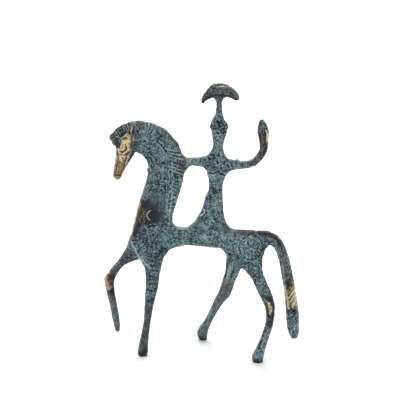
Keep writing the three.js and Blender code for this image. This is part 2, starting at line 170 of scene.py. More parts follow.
def between(first, second, count, lean, start=0.0, end=1.0):
    """Short strokes from one border line to another, each leaning along by a share."""
    strokes = []
    for k in range(count):
        share = start + (end - start) * (k + 0.5) / count
        other = min(max(share + lean, 0.0), 1.0)
        strokes.append([point_along(first, share), point_along(second, other)])
    return strokes


def point_along(line, share):
    """The point at a share of a polyline's length."""
    points = np.array(line, float)
    steps = np.linalg.norm(np.diff(points, axis=0), axis=1)
    reach = np.concatenate([[0.0], np.cumsum(steps)])
    at = share * reach[-1]
    return tuple(np.interp(at, reach, points[:, k]) for k in range(2))


def ring(centre, radius, start=0.0, turns=1.0, end_radius=None, steps=28):
    """A circle, or a spiral where the radius changes."""
    last = radius if end_radius is None else end_radius
    points = []
    for k in range(steps + 1):
        share = k / steps
        angle = start + turns * math.tau * share
        size = radius + (last - radius) * share
        points.append((centre[0] + size * math.cos(angle), centre[1] + size * math.sin(angle)))
    return points


# Cut lines: side, depth and half width in millimetres, height of the lip beside it, lines
CUTS = [
    (EITHER, 0.24, 0.36, 0.1, [MANE_CREASE]),
    (EITHER, 0.14, 0.34, 0.0, [MANE_FOLD]),
    (EITHER, 0.08, 0.4, 0.06, [MANE_BORDER]),
    (EITHER, 0.16, 0.4, 0.0, between(MANE_BORDER, MANE_RIM, 7, -0.03, 0.78, 1.0)),
    (EITHER, 0.18, 0.38, 0.0, between(MANE_BORDER, MANE_RIM, 3, -0.15, 0.56, 0.68)),
    (EITHER, 0.11, 0.38, 0.0, between(MANE_BORDER, MANE_RIM, 4, -0.13, 0.4, 0.55)),
    (EITHER, 0.09, 0.4, 0.0, between(MANE_BORDER, MANE_RIM, 8, -0.09, 0.09, 0.39)),
    (EITHER, 0.22, 0.42, 0.0, between(BROW, FORELOCK_RIM, 8, 0.0)),
    (EITHER, 0.14, 0.34, 0.0, [CHEEK]),
    (EITHER, 0.42, 0.32, 0.1, CHEEK_MARKS),
    (EITHER, 0.26, 0.36, 0.1, [EYE]),
    (EITHER, 0.34, 0.42, 0.1, [MOUTH]),
    (EITHER, 0.27, 0.33, 0.12, JAW_LINES),
    (NEAR, 0.6, 0.44, 0.1, [BREAST_CRACK, THROAT_NICK]),
    (NEAR, 0.1, 0.3, 0.0, [CHEST_EDGE]),
    (NEAR, 0.3, 0.36, 0.1, [BREAST_LINE, HEAD_NOTCH]),
    (NEAR, 0.4, 0.5, 0.1, [*BREAST_PITS, CHIN_PIT]),
    (FAR, 0.3, 0.42, 0.12, [BREAST_LINE, HEAD_NOTCH]),
    (EITHER, 0.16, 0.36, 0.06, [ring(HAUNCH_CENTRE, HAUNCH_RADIUS)]),
    (EITHER, 0.06, 0.36, 0.03, [ring(HAUNCH_CENTRE, 4.3, 0.9, 0.2, 3.4)]),
    (EITHER, 0.1, 0.42, 0.0, [HIND_CREASE, RUMP_LINE]),
    (EITHER, 0.3, 0.34, 0.0, LEG_STROKES),
    (EITHER, 0.32, 0.32, 0.0, TAIL_GROOVES),
    (EITHER, 0.2, 0.34, 0.0, between(TAIL_FRONT, TAIL_BACK, 9, -0.18, 0.62, 1.0)),
]

# Raised strokes: side, height and half width in millimetres, lines
RIDGES = [
    (EITHER, 0.2, 0.3, between(MANE_BORDER, MANE_RIM, 3, -0.15, 0.58, 0.7)),
    (EITHER, 0.1, 0.3, between(MANE_BORDER, MANE_RIM, 4, -0.13, 0.42, 0.57)),
    (EITHER, 0.16, 0.32, between(MANE_BORDER, MANE_RIM, 5, -0.02, 0.8, 0.98)),
    (EITHER, 0.08, 0.32, between(MANE_BORDER, MANE_RIM, 7, -0.08, 0.11, 0.36)),
    (EITHER, 0.26, 0.3, between(BROW, FORELOCK_RIM, 10, 0.0)),
    (EITHER, 0.13, 0.45, [MANE_RIDGE]),
    (EITHER, 0.15, 0.6, [SHOULDER]),
    (EITHER, 0.12, 0.4, [SKIRT_FOLD]),
    (EITHER, 0.34, 0.32, TAIL_LOCKS),
    (EITHER, 0.22, 0.32, LOW_LOCKS),
    (EITHER, 0.07, 0.34, TAIL_HAIRS),
    (EITHER, 0.16, 0.36, [TAIL_EDGE]),
    (EITHER, 0.14, 0.34, LEG_RIBS),
    (EITHER, 0.1, 0.26, [STRAP]),
    (NEAR, 0.3, 0.3, [LOOP_BURR]),
]

# Small lumps of metal: (x, z) in millimetres, height and radius
LUMPS = [((19.2, 111.4), 0.7, 0.9), ((-29.4, 106.0), 0.85, 1.0), ((-1.9, 78.9), 0.35, 0.9)]

# Worn and stained places of each kind, and places of painted highlight and painted shade: side,
# half width in millimetres, lines of (x, z)
PATCHES = {
    "bare": [
        (EITHER, 0.5, [[(-37.7, 131.4), (-38.3, 128.0)]]),
        (EITHER, 2.0, [[(-39.9, 125.4), (-40.3, 122.0), (-40.4, 119.0)],
                       [(-40.9, 124.6), (-42.0, 121.4), (-42.6, 118.4)]]),
        (EITHER, 3.2, [[(-42.4, 116.4), (-44.4, 109.6), (-45.4, 102.0)]]),
        (EITHER, 0.95, [[(-34.1, 87.2), (-35.7, 82.5), (-37.5, 76.0), (-39.5, 68.8)]]),
        (EITHER, 0.7, [[(-53.6, 44.0), (-51.8, 45.2)]]),
        (EITHER, 1.5, [[(-54.2, 42.4), (-53.4, 39.0), (-52.4, 36.0)]]),
        (NEAR, 0.3, [[(34.4, 35.0), (35.3, 33.8), (36.4, 32.7)]]),
        (NEAR, 0.75, [[(36.8, 32.7), (37.3, 30.7), (37.9, 28.8), (37.7, 26.8)],
                      [(38.2, 30.4), (38.4, 28.6)]]),
        (FAR, 1.2, [[(10.0, 26.0), (13.2, 31.0)]]),
        (EITHER, 3.3, [[(51.4, 36.2), (51.8, 32.0), (52.3, 27.8)]]),
        (EITHER, 0.8, [[(46.2, 38.4), (47.1, 34.2), (47.9, 30.5), (48.3, 27.5), (48.7, 25.4)]]),
        (EITHER, 0.6, [[(34.8, 128.6), (35.4, 126.8), (35.4, 123.6), (35.1, 122.2)]]),
        (NEAR, 0.4, [[(7.8, 153.1), (13.6, 153.0)]]),
        (EITHER, 0.26, [[(-33.8, 132.6), (-34.1, 130.8)]]),
        (NEAR, 0.46, [[(24.2, 66.2), (24.5, 65.4)]]),
        (NEAR, 0.24, [[(14.0, 152.8), (16.1, 151.9), (17.7, 150.8)]]),
    ],
    "flecked": [
        (EITHER, 0.9, [[(-37.3, 126.0), (-36.9, 123.0), (-37.1, 119.6)]]),
        (NEAR, 2.8, [[(-33.0, 83.6), (-32.2, 81.4), (-33.2, 78.4)]]),
        (EITHER, 2.0, [[(50.8, 41.0), (51.4, 37.6)]]),
        (EITHER, 1.2, [[(-50.8, 41.0), (-50.4, 37.0)]]),
        (EITHER, 1.5, [[(32.9, 125.6), (33.4, 121.6), (33.2, 118.6)]]),
        (EITHER, 0.6, [[(-49.6, 125.2), (-48.0, 127.4), (-43.4, 130.4), (-40.4, 131.9)]]),
        (EITHER, 0.7, [[(-49.5, 124.7), (-47.2, 121.6)]]),
    ],
    "bright": [
        (NEAR, 0.16, [*CHEST_SCRATCHES, LOOP_BURR]),
        # Painted highlight: a small pale spot on the face
        (EITHER, 0.45, [[(-45.3, 118.4), (-45.2, 118.1)]]),
        # Painted highlights along the tail locks
        (EITHER, 0.18, TAIL_LOCKS[1:4]),
        # Painted highlight along the top of the crescent
        (NEAR, 0.2, [[(9.4, 153.2), (11.8, 153.2)]]),
    ],
    "warm": [
        (EITHER, 1.6, [[(32.6, 126.0), (33.3, 118.6)]]),
        (EITHER, 3.0, [[(-54.0, 44.0), (-52.0, 30.0)]]),
        (EITHER, 4.4, [[(-45.0, 107.6), (-46.0, 101.0)]]),
        (EITHER, 4.0, [[(4.0, 152.0), (14.0, 152.0)]]),
        (EITHER, 2.0, [[(-33.6, 87.0), (-34.4, 83.6)]]),
        (EITHER, 0.8, [[(-33.8, 132.8), (-34.1, 130.3)]]),
    ],
    "brown": [
        (EITHER, 1.5, [[(-37.0, 132.0), (-36.8, 121.8), (-38.0, 117.6)]]),
        (EITHER, 1.7, [[(-48.2, 126.0), (-46.2, 128.6), (-43.2, 130.9), (-39.6, 132.4)]]),
        (EITHER, 1.2, [[(-49.5, 124.7), (-47.2, 121.6), (-46.2, 118.4)]]),
        (EITHER, 2.0, [[(-36.9, 117.4), (-39.4, 112.2), (-43.2, 103.6)]]),
        (EITHER, 3.2, [[(-51.6, 44.0), (-50.4, 30.0)]]),
        (EITHER, 3.4, [[(47.2, 44.8), (48.8, 41.4)]]),
        (EITHER, 1.7, [[(14.4, 74.0), (17.0, 71.4), (24.0, 70.9), (31.0, 70.6), (38.6, 69.2)]]),
        (EITHER, 7.0, [[(0.6, 145.0), (4.0, 149.0), (9.4, 151.0), (15.2, 149.0), (19.0, 146.0)]]),
        (EITHER, 4.2, [[(34.2, 128.0), (33.8, 119.0), (31.0, 113.6), (29.6, 112.0)]]),
        (EITHER, 1.2, [[(12.2, 34.8), (15.0, 36.3)]]),
        (EITHER, 0.9, [[(-23.6, 40.0), (-26.8, 24.0), (-29.0, 10.0)]]),
        (EITHER, 0.8, [[(6.0, 28.1), (9.4, 35.6), (12.2, 42.3)], [(26.0, 50.0), (32.0, 38.0)]]),
        (NEAR, 1.5, [[(-38.8, 58.8), (-38.0, 55.6)]]),
        (EITHER, 0.9, [[(-53.4, 36.0), (-51.0, 22.0)], [(-49.4, 44.8), (-42.6, 52.6)]]),
        (EITHER, 1.4, [[(38.6, 69.2), (41.4, 66.4), (43.6, 62.6), (45.4, 57.0), (46.7, 50.0),
                        (48.0, 44.0)]]),
        (NEAR, 1.8, [[(-33.0, 88.0), (-38.4, 66.0)]]),
        (EITHER, 1.2, [[(-33.8, 133.4), (-32.6, 131.0)]]),
        (EITHER, 1.3, [[(-23.6, 131.2), (-17.8, 127.4), (-13.4, 122.6), (-10.6, 117.0),
                        (-9.2, 111.0)]]),
        (EITHER, 1.4, [[(-13.4, 111.0), (-11.2, 106.8)]]),
    ],
    "soot": [
        (EITHER, 1.2, [[(47.6, 41.2), (49.2, 38.0), (49.4, 36.4)]]),
        (EITHER, 0.8, [[(49.9, 28.4), (49.4, 25.6)], [(52.0, 26.2), (51.6, 24.8)]]),
        (EITHER, 0.7, [[(-37.0, 116.6), (-39.6, 111.8), (-43.4, 103.8)]]),
        (NEAR, 3.6, [[(-31.0, 86.4), (-28.4, 84.4), (-27.4, 81.0), (-25.4, 80.0)]]),
        (NEAR, 2.6, [[(-31.6, 82.4), (-32.0, 78.4), (-28.0, 77.2)]]),
        (EITHER, 0.7, [[(1.0, 145.0), (5.0, 148.0), (9.4, 148.4), (14.6, 148.0), (18.4, 146.0)]]),
        (EITHER, 0.75, [[(20.0, 71.2), (30.0, 70.7), (38.0, 69.4), (41.2, 66.8), (42.6, 64.4)]]),
        (NEAR, 1.4, [[(-34.4, 76.4), (-36.8, 69.4)]]),
        (EITHER, 0.7, [[(-45.8, 124.0), (-45.9, 120.8)], [(-43.6, 126.2), (-41.6, 127.6)]]),
        (EITHER, 0.45, [[(-29.5, 107.8), (-28.9, 106.4)]]),
        (NEAR, 0.62, [BREAST_CRACK]),
        (NEAR, 0.6, [[(0.6, 82.6), (-0.2, 81.6)]]),
        (NEAR, 0.35, [BREAST_LINE, *BREAST_PITS, HEAD_NOTCH, CHIN_PIT]),
        (NEAR, 0.8, [HEAD_NOTCH]),
        (NEAR, 1.1, [[(5.8, 96.4), (7.4, 94.4)]]),
        (NEAR, 1.7, [[(34.2, 35.6), (36.2, 33.6), (37.0, 29.2), (37.6, 25.2)],
                     [(37.2, 35.6), (39.4, 31.6), (39.4, 25.0), (37.6, 20.6)]]),
        (EITHER, 0.9, [[(35.4, 119.6), (33.6, 115.0)], [(34.4, 126.0), (34.6, 121.0)],
                       [(31.2, 126.0), (31.8, 121.0)]]),
        (EITHER, 1.6, [[(-49.6, 43.6), (-49.6, 33.0)]]),
        # Painted shade: dark hoof bottoms where the hooves meet the floor
        (EITHER, 1.2, [[(-31.4, 4.0), (-33.6, 1.0)]]),
        (EITHER, 1.4, [[(28.4, 1.4), (33.6, 0.2)], [(-1.6, 1.6), (2.4, 0.4)]]),
        (EITHER, 1.0, [[(33.5, 61.3), (34.6, 62.4)], [(-11.6, 110.6), (-10.4, 108.6)]]),
    ],
    "teal": [
        (EITHER, 2.4, [[(-17.4, 122.4), (-15.4, 117.6)], [(-30.6, 130.8), (-26.0, 128.4)]]),
        (EITHER, 3.4, [[(18.4, 52.6), (16.4, 45.0)]]),
        (EITHER, 2.4, [[(-8.0, 111.0), (-1.0, 110.5)]]),
        (EITHER, 2.6, [[(-18.4, 72.0), (-16.8, 62.0)]]),
        (EITHER, 3.2, [[(-46.0, 58.0), (-42.0, 61.5)]]),
        (EITHER, 2.6, [[(5.4, 82.0), (11.0, 73.0)]]),
        (EITHER, 3.0, [[(8.6, 125.0), (8.4, 116.0)], [(8.4, 108.0), (8.0, 100.0), (7.6, 90.0)]]),
        (EITHER, 2.4, [[(-18.4, 74.0), (-18.0, 90.0), (-17.8, 106.0), (-16.8, 112.0)]]),
        (EITHER, 2.0, [[(-38.6, 62.0), (-33.0, 54.0)]]),
    ],
    # Painted highlight: pale grey on rims that face up, where they catch the overhead light
    "pale": [
        (EITHER, 1.5, [[(-15.6, 76.5), (-12.6, 73.9), (-8.6, 73.6), (-4.2, 77.6), (-0.4, 84.6)]]),
        (EITHER, 1.8, [[(-9.0, 113.0), (2.0, 113.4)], [(14.6, 112.4), (28.0, 112.0)]]),
        (EITHER, 1.4, [[(-33.6, 24.0), (-35.6, 4.0)], [(-51.8, 28.0), (-49.8, 14.0)]]),
        (EITHER, 1.4, [[(30.6, 132.0), (31.4, 122.0)], [(29.6, 14.0), (28.6, 4.0)]]),
        (EITHER, 1.6, [[(6.2, 20.0), (-1.6, 6.0)]]),
        (EITHER, 1.4, [[(-29.6, 108.0), (-31.2, 98.0), (-33.2, 89.0)]]),
    ],
    "sleek": [
        (NEAR, 3.6, [[(-25.6, 91.0), (-23.4, 87.0)]]),
        (EITHER, 5.0, [[(-30.0, 24.0), (-32.4, 4.0)], [(-50.6, 30.0), (-48.0, 12.0)],
                       [(14.0, 36.0), (0.8, 4.0)]]),
    ],
    # Darker patina tone, with painted shade on the near foreleg
    "deep": [
        (EITHER, 2.6, [[(32.4, 132.0), (33.0, 128.0)]]),
        (NEAR, 3.0, [[(-31.0, 74.6), (-32.0, 70.0)]]),
        (NEAR, 3.4, [[(-25.0, 86.4), (-23.6, 79.6)]]),
        (EITHER, 1.6, [[(-39.6, 128.6), (-44.0, 126.0), (-46.0, 123.0), (-45.8, 118.6)]]),
        (NEAR, 2.0, [[(9.2, 134.0), (9.2, 130.0)]]),
        # Painted shade down the near foreleg
        (EITHER, 5.0, [[(-30.0, 66.0), (-24.6, 60.0), (-24.6, 50.0), (-25.6, 38.0)]]),
        (EITHER, 4.4, [[(-28.0, 32.0), (-31.0, 14.0), (-32.6, 2.0)]]),
        (EITHER, 3.0, [[(-38.0, 58.0), (-46.0, 52.0)]]),
        (EITHER, 0.9, [[(16.6, 58.0), (14.2, 50.0), (12.6, 42.0)]]),
    ],
    "fair": [
        (NEAR, 1.8, [[(36.6, 19.0), (34.0, 11.0), (31.0, 4.0)]]),
        (EITHER, 3.0, [[(12.0, 34.0), (2.0, 10.0)], [(-30.0, 130.0), (-20.0, 127.0)]]),
        (EITHER, 5.0, [[(4.0, 69.0), (18.0, 68.0)]]),
        (EITHER, 1.2, [[(18.6, 52.9), (15.6, 46.0), (14.4, 40.0)]]),
        # The first line lays a painted highlight on the rider's head; the second lifts the tone
        # of the raised shank
        (EITHER, 2.0, [[(8.6, 127.0), (8.6, 118.0)], [(-51.4, 30.0), (-49.0, 14.0)]]),
        (EITHER, 1.6, [[(-8.0, 111.0), (-1.0, 110.5)]]),
    ],
}

# Soft boxes: name, place and size in metres, and the setting that holds the power
SOFT_BOXES = [
    ("overhead_box", (0.0, 0.35, 0.95), 0.9, "overhead"),
    ("back_box", (0.0, 1.1, 0.45), 1.2, "back"),
    ("left_box", (-0.95, 0.1, 0.4), 0.8, "side"),
]
LIGHT_AIM = (0.0, 0.0, 0.08)
FLOOR_HALF = 4.0
FLOOR_SHADE = 0.985  # the floor's darker tone, as a share of its colour
CLIP_START = 0.01

# The scribbled marks follow the middle level of a noise
MARK_DETAIL, MARK_WANDER = 1.0, 1.1
MARK_LINE = (0.012, 0.075)  # distance off that level: whole mark, and none
MARK_GAPS = (0.36, 0.5)  # level of a second noise: none, and whole mark
GAP_SCALE, GAP_SEED = 0.9, 9.0  # that second noise beside the first

# The cast ground: marks of two sizes, cut into uneven lumps
SECOND_SCALE, SECOND_SEED, SECOND_DEPTH = 1.45, 3.0, 0.75
LUMP_SCALE, LUMP_SEED, LUMP_DETAIL, LUMP_WANDER = 0.6, 6.0, 2.0, 0.4
LUMP_HEIGHT, GROUND_LIFT = 1.6, 0.25

# Noise layers of the patina: clouds a millimetre, detail, distortion and seed
NOISES = {
    "fine": (1.7, 3.0, 0.5, 1.0),
    "cloud": (0.13, 3.0, 0.6, 14.0),
    "blotch": (0.5, 2.0, 0.8, 16.0),
    "speck": (1.5, 1.0, 0.0, 40.0),
    "hue": (0.09, 3.0, 0.4, 12.0),
    "grain": (3.4, 4.0, 0.3, 15.0),
}

# Marks finer than those of the relief: times the relief's scale, and what is added to its seed
FLECK_MARKS = (1.5, 20.0)
NICK_MARKS = (1.7, 30.0)

# How each kind of patch breaks up: clouds a millimetre, raggedness, softness and seed
EDGE_DETAIL, EDGE_WANDER = 3.0, 0.6
PATCH_LIMIT = (0.02, 0.12)  # mask level: no patch strays below the first
EDGES = {
    "teal": (0.5, 0.9, 0.32, 2.0),
    "brown": (0.9, 1.0, 0.3, 5.0),
    "rim": (0.45, 0.7, 0.3, 6.0),
    "soot": (0.8, 0.9, 0.4, 7.0),
    "bare": (1.3, 0.75, 0.1, 8.0),
    "flecked": (1.0, 1.5, 0.1, 9.0),
    "pale": (0.9, 0.9, 0.3, 11.0),
}

# Weights of what makes up each level of the patina
WEIGHTS = {
    "marks": {"height": 0.75, "fine": 1.5, "fleck": 1.5, "nick": -1.35, "speck": 0.8},
    "level": {"marks": 1.0, "cloud": 2.0, "blotch": 1.3, "cut": -1.7, "crest": 1.9,
              "deep": -0.45, "fair": 0.4},
    "kept powder": {"crest": 0.45, "powdery": 0.4},
    "cleared": {"height": 0.8, "fine": 1.5, "cut": -1.6, "crest": 0.4, "bare": 1.1},
}

# Where each layer begins and is full, on the scale of the value that drives it
RANGES = {
    "speck": (0.68, 0.74),
    "sleek": (0.2, 0.8),
    "bloom": (-0.65, 0.12),
    "powdery": (0.2, 0.95),
    "hue": (0.42, 0.62),
    "thin by bare": (0.3, 0.5),
    "cleared": (-0.45, 0.1),
    "clean": (0.0, 1.1),
    "warm": (0.3, 0.6),
    "bright": (0.3, 0.6),
}

# How much of a layer shows at most
SLEEK_CALMS = 0.3
HUE_SHARE = 0.45
SLEEK_SHARE = 0.5
RIM_LEVEL, RIM_SHARE = 0.8, 0.55
THIN_SHARE = 0.85
STAIN_AND_SHADE_SHARE, STAIN_AND_SHADE_OFF_CREST = 0.9, 0.7
FLECK_LEVEL = 0.66
GRAIN_BUMP, MARK_BUMP = 0.00009, 0.00012
SHEEN = 0.24


class CastingSettings(bpy.types.PropertyGroup):
    """Sizes of the casting's skin and of the relief on it."""

    grain: bpy.props.FloatProperty(
        name="Mesh grain", description="Edge length of the even skin",
        default=0.00046, min=0.0003, max=0.002, unit="LENGTH")
    smoothing: bpy.props.IntProperty(
        name="Smoothing rounds", description="Rounds that take the flats off the solid",
        default=60, min=0, max=120)
    relief: bpy.props.FloatProperty(
        name="Relief depth", description="Depth of the scribbled marks left by the mould",
        default=0.00026, min=0.0, max=0.001, unit="LENGTH")
    mark: bpy.props.FloatProperty(
        name="Mark size", description="Size of one scribbled mark",
        default=0.0015, min=0.0005, max=0.01, unit="LENGTH")
    seed: bpy.props.IntProperty(
        name="Relief seed", description="Changes where the marks fall", default=4, min=0)


class PatinaSettings(bpy.types.PropertyGroup):
    """Colours and gloss of the patinated bronze."""

    powder: bpy.props.FloatVectorProperty(
        name="Powder", description="Pale grey on the highest flecks and strokes",
        default=(0.380, 0.500, 0.540), size=3, min=0.0, max=1.0, subtype="COLOR")
    verdigris: bpy.props.FloatVectorProperty(
        name="Verdigris", description="Blue grey ground of the patina",
        default=(0.067, 0.140, 0.166), size=3, min=0.0, max=1.0, subtype="COLOR")
    recess: bpy.props.FloatVectorProperty(
        name="Recesses", description="Dark blue green in the marks",
        default=(0.002, 0.012, 0.020), size=3, min=0.0, max=1.0, subtype="COLOR")
    # Painted highlight: the pale grey of rims that face up
    painted_rim_highlight: bpy.props.FloatVectorProperty(
        name="Chalk", description="Pale grey on rims that face up",
        default=(0.300, 0.330, 0.335), size=3, min=0.0, max=1.0, subtype="COLOR")
    rubbed: bpy.props.FloatVectorProperty(
        name="Handled legs", description="Grey green where the lower legs are rubbed smooth",
        default=(0.068, 0.079, 0.079), size=3, min=0.0, max=1.0, subtype="COLOR")
    teal: bpy.props.FloatVectorProperty(
        name="Green bloom", description="Greener bloom in a few places",
        default=(0.100, 0.195, 0.180), size=3, min=0.0, max=1.0, subtype="COLOR")
    brown: bpy.props.FloatVectorProperty(
        name="Thin patina", description="Brown where the patina is worn thin",
        default=(0.100, 0.078, 0.068), size=3, min=0.0, max=1.0, subtype="COLOR")
    # Purple black stains, and the painted shade at the hoof bottoms
    soot: bpy.props.FloatVectorProperty(
        name="Dark stain", description="Purple black stain round the rubbed places",
        default=(0.012, 0.011, 0.019), size=3, min=0.0, max=1.0, subtype="COLOR")
    bronze: bpy.props.FloatVectorProperty(
        name="Bare bronze", description="Rubbed bare metal",
        default=(0.720, 0.610, 0.370), size=3, min=0.0, max=1.0, subtype="COLOR")
    tarnish: bpy.props.FloatVectorProperty(
        name="Tarnished bronze", description="Browner metal in the low parts of a rub",
        default=(0.150, 0.100, 0.055), size=3, min=0.0, max=1.0, subtype="COLOR")
    copper: bpy.props.FloatVectorProperty(
        name="Coppery bronze", description="Redder metal on the chest, knee and hand",
        default=(0.470, 0.340, 0.235), size=3, min=0.0, max=1.0, subtype="COLOR")
    # Fresh scratches, and the colour of the painted highlights on the face, tail and crescent
    bright: bpy.props.FloatVectorProperty(
        name="Fresh scratch", description="Newly scratched metal",
        default=(0.860, 0.800, 0.640), size=3, min=0.0, max=1.0, subtype="COLOR")
    dull: bpy.props.FloatProperty(
        name="Patina roughness", description="Roughness of the verdigris",
        default=0.5, min=0.0, max=1.0, subtype="FACTOR")
    polish: bpy.props.FloatProperty(
        name="Metal roughness", description="Roughness of the rubbed metal",
        default=0.34, min=0.0, max=1.0, subtype="FACTOR")


class StageSettings(bpy.types.PropertyGroup):
    """Floor, light and camera."""

    floor: bpy.props.FloatVectorProperty(
        name="Floor", description="Colour of the pale floor",
        default=(0.90, 0.90, 0.90), size=3, min=0.0, max=1.0, subtype="COLOR")
    surround: bpy.props.FloatProperty(
        name="Surround", description="Strength of the even light from all round",
        default=0.72, min=0.0, max=10.0)
    overhead: bpy.props.FloatProperty(
        name="Overhead light", description="Power of the soft box above",
        default=7.0, min=0.0, max=500.0, unit="POWER")
    side: bpy.props.FloatProperty(
        name="Side light", description="Power of the soft box on the left",
        default=2.4, min=0.0, max=500.0, unit="POWER")
    back: bpy.props.FloatProperty(
        name="Back light", description="Power of the soft box behind",
        default=10.0, min=0.0, max=500.0, unit="POWER")
    elevation: bpy.props.FloatProperty(
        name="Camera elevation", description="How far the camera looks down",
        default=math.radians(18.0), subtype="ANGLE")
    distance: bpy.props.FloatProperty(
        name="Camera distance", description="From the camera to the point it looks at",
        default=0.9, min=0.1, unit="LENGTH")
    aim: bpy.props.FloatVectorProperty(
        name="Aim", description="Point that the camera looks at",
        default=(-0.001, 0.0013, 0.0887), size=3, subtype="XYZ", unit="LENGTH")
    lens: bpy.props.FloatProperty(
        name="Lens", description="Focal length", default=147.8, min=10.0, unit="CAMERA")


def socket_of(sockets, key):
    """A node's socket by number, identifier or name."""
    if isinstance(key, int):
        return sockets[key]
    for socket in sockets:
        if socket.identifier == key:
            return socket
    return sockets[key]


def add(tree, kind, values=None, **settings):
    """A node with its settings, and its inputs set to values or linked to sockets."""
    node = tree.nodes.new(kind)
    for name, value in settings.items():
        setattr(node, name, value)
    for key, value in (values or {}).items():
        socket = socket_of(node.inputs, key)
        if isinstance(value, bpy.types.NodeSocket):
            tree.links.new(value, socket)
        else:
            socket.default_value = value
    return node


def maths(tree, operation, a, b=0.0):
    """One sum of two values."""
    return add(tree, "ShaderNodeMath", {0: a, 1: b}, operation=operation).outputs[0]


def ramp(tree, value, low, high, start=0.0, end=1.0):
    """A value eased from one range to another."""
    node = add(tree, "ShaderNodeMapRange",
               {"Value": value, "From Min": low, "From Max": high,
                "To Min": start, "To Max": end}, interpolation_type="SMOOTHSTEP")
    return node.outputs["Result"]


def noise(tree, point, scale, detail=2.0, distortion=0.0, seed=0.0):
    """Cloudy noise at a point in millimetres, with scale as clouds a millimetre."""
    node = add(tree, "ShaderNodeTexNoise",
               {"Vector": point, "Scale": scale, "Detail": detail, "Roughness": 0.5,
                "Distortion": distortion, "W": seed}, noise_dimensions="4D")
    return node.outputs[0]


def blend(tree, share, first, second):
    """Two colours mixed."""
    node = add(tree, "ShaderNodeMix",
               {"Factor_Float": share, "A_Color": first, "B_Color": second},
               data_type="RGBA")
    return socket_of(node.outputs, "Result_Color")


def scribble(tree, point, scale, seed):
    """Short wandering marks, from 0 on the ground between them to 1 in their middle."""
    field = noise(tree, point, scale, MARK_DETAIL, MARK_WANDER, seed)
    off_line = maths(tree, "ABSOLUTE", maths(tree, "SUBTRACT", field, 0.5))
    line = ramp(tree, off_line, *MARK_LINE, 1.0, 0.0)
    gaps = noise(tree, point, maths(tree, "MULTIPLY", scale, GAP_SCALE), MARK_DETAIL, 0.0,
                 maths(tree, "ADD", seed, GAP_SEED))
    return maths(tree, "MULTIPLY", line, ramp(tree, gaps, *MARK_GAPS))


def marks_height(tree, point, scale, seed):
    """Height of the cast ground: two layers of marks cut into uneven lumps."""
    first = scribble(tree, point, scale, seed)
    second = scribble(tree, point, maths(tree, "MULTIPLY", scale, SECOND_SCALE),
                      maths(tree, "ADD", seed, SECOND_SEED))
    cut = maths(tree, "MAXIMUM", first, maths(tree, "MULTIPLY", second, SECOND_DEPTH))
    lumps = noise(tree, point, maths(tree, "MULTIPLY", scale, LUMP_SCALE), LUMP_DETAIL,
                  LUMP_WANDER, maths(tree, "ADD", seed, LUMP_SEED))
    swell = maths(tree, "MULTIPLY", maths(tree, "SUBTRACT", lumps, 0.5), LUMP_HEIGHT)
    return maths(tree, "SUBTRACT", maths(tree, "ADD", swell, GROUND_LIFT), cut)


def relief_tree(material):
    """The modifier that presses the scribbled marks into the skin."""
    tree = bpy.data.node_groups.new("Cast relief", "GeometryNodeTree")
    tree.is_modifier = True
    sockets = {"Skin": tree.interface.new_socket(
        "Skin", in_out="INPUT", socket_type="NodeSocketGeometry")}
    for name in ("Depth", "Mark size", "Seed"):
        sockets[name] = tree.interface.new_socket(
            name, in_out="INPUT", socket_type="NodeSocketFloat")
    tree.interface.new_socket("Skin", in_out="OUTPUT", socket_type="NodeSocketGeometry")
    given = tree.nodes.new("NodeGroupInput").outputs
    place = add(tree, "GeometryNodeInputPosition").outputs[0]
    point = add(tree, "ShaderNodeVectorMath", {0: place, "Scale": 1 / MM},
                operation="SCALE").outputs[0]
    scale = maths(tree, "DIVIDE", MM, given["Mark size"])
    height = marks_height(tree, point, scale, given["Seed"])
    calm = add(tree, "GeometryNodeInputNamedAttribute", {"Name": "calm"},
               data_type="FLOAT").outputs[0]
    rough = maths(tree, "SUBTRACT", 1.0, calm)
    lift = maths(tree, "MULTIPLY", maths(tree, "MULTIPLY", height, rough), given["Depth"])
    normal = add(tree, "GeometryNodeInputNormal").outputs[0]
    shift = add(tree, "ShaderNodeVectorMath", {0: normal, "Scale": lift},
                operation="SCALE").outputs[0]
    kept = add(tree, "GeometryNodeStoreNamedAttribute",
               {"Geometry": given["Skin"], "Name": "relief", "Value": height},
               data_type="FLOAT", domain="POINT").outputs[0]
    pressed = add(tree, "GeometryNodeSetPosition", {"Geometry": kept, "Offset": shift})
    whole = add(tree, "GeometryNodeRealizeInstances", {0: pressed.outputs[0]})
    finish = add(tree, "GeometryNodeSetMaterial",
                 {"Geometry": whole.outputs[0], "Material": material})
    add(tree, "NodeGroupOutput", {0: finish.outputs[0]})
    return tree, {name: socket.identifier for name, socket in sockets.items()}


def ragged_group():
    """A shader group that breaks a soft mask into a ragged one."""
    group = bpy.data.node_groups.new("Ragged patch", "ShaderNodeTree")
    for name, kind in (("Mask", "Float"), ("Point", "Vector"), ("Grain", "Float"),
                       ("Raggedness", "Float"), ("Softness", "Float"), ("Seed", "Float")):
        group.interface.new_socket(name, in_out="INPUT", socket_type="NodeSocket" + kind)
    group.interface.new_socket("Mask", in_out="OUTPUT", socket_type="NodeSocketFloat")
    given = group.nodes.new("NodeGroupInput").outputs
    cloud = noise(group, given["Point"], given["Grain"], EDGE_DETAIL, EDGE_WANDER,
                  given["Seed"])
    push = maths(group, "MULTIPLY", maths(group, "SUBTRACT", cloud, 0.5),
                 given["Raggedness"])
    level = maths(group, "ADD", given["Mask"], push)
    edge = ramp(group, level, maths(group, "SUBTRACT", 0.5, given["Softness"]),
                maths(group, "ADD", 0.5, given["Softness"]))
    inside = ramp(group, given["Mask"], *PATCH_LIMIT)
    add(group, "NodeGroupOutput", {0: maths(group, "MULTIPLY", edge, inside)})
    return group


def ragged(tree, group, mask, point, grain, raggedness, softness, seed):
    """The ragged group placed in a material."""
    return add(tree, "ShaderNodeGroup",
               {"Mask": mask, "Point": point, "Grain": grain, "Raggedness": raggedness,
                "Softness": softness, "Seed": seed}, node_tree=group).outputs["Mask"]


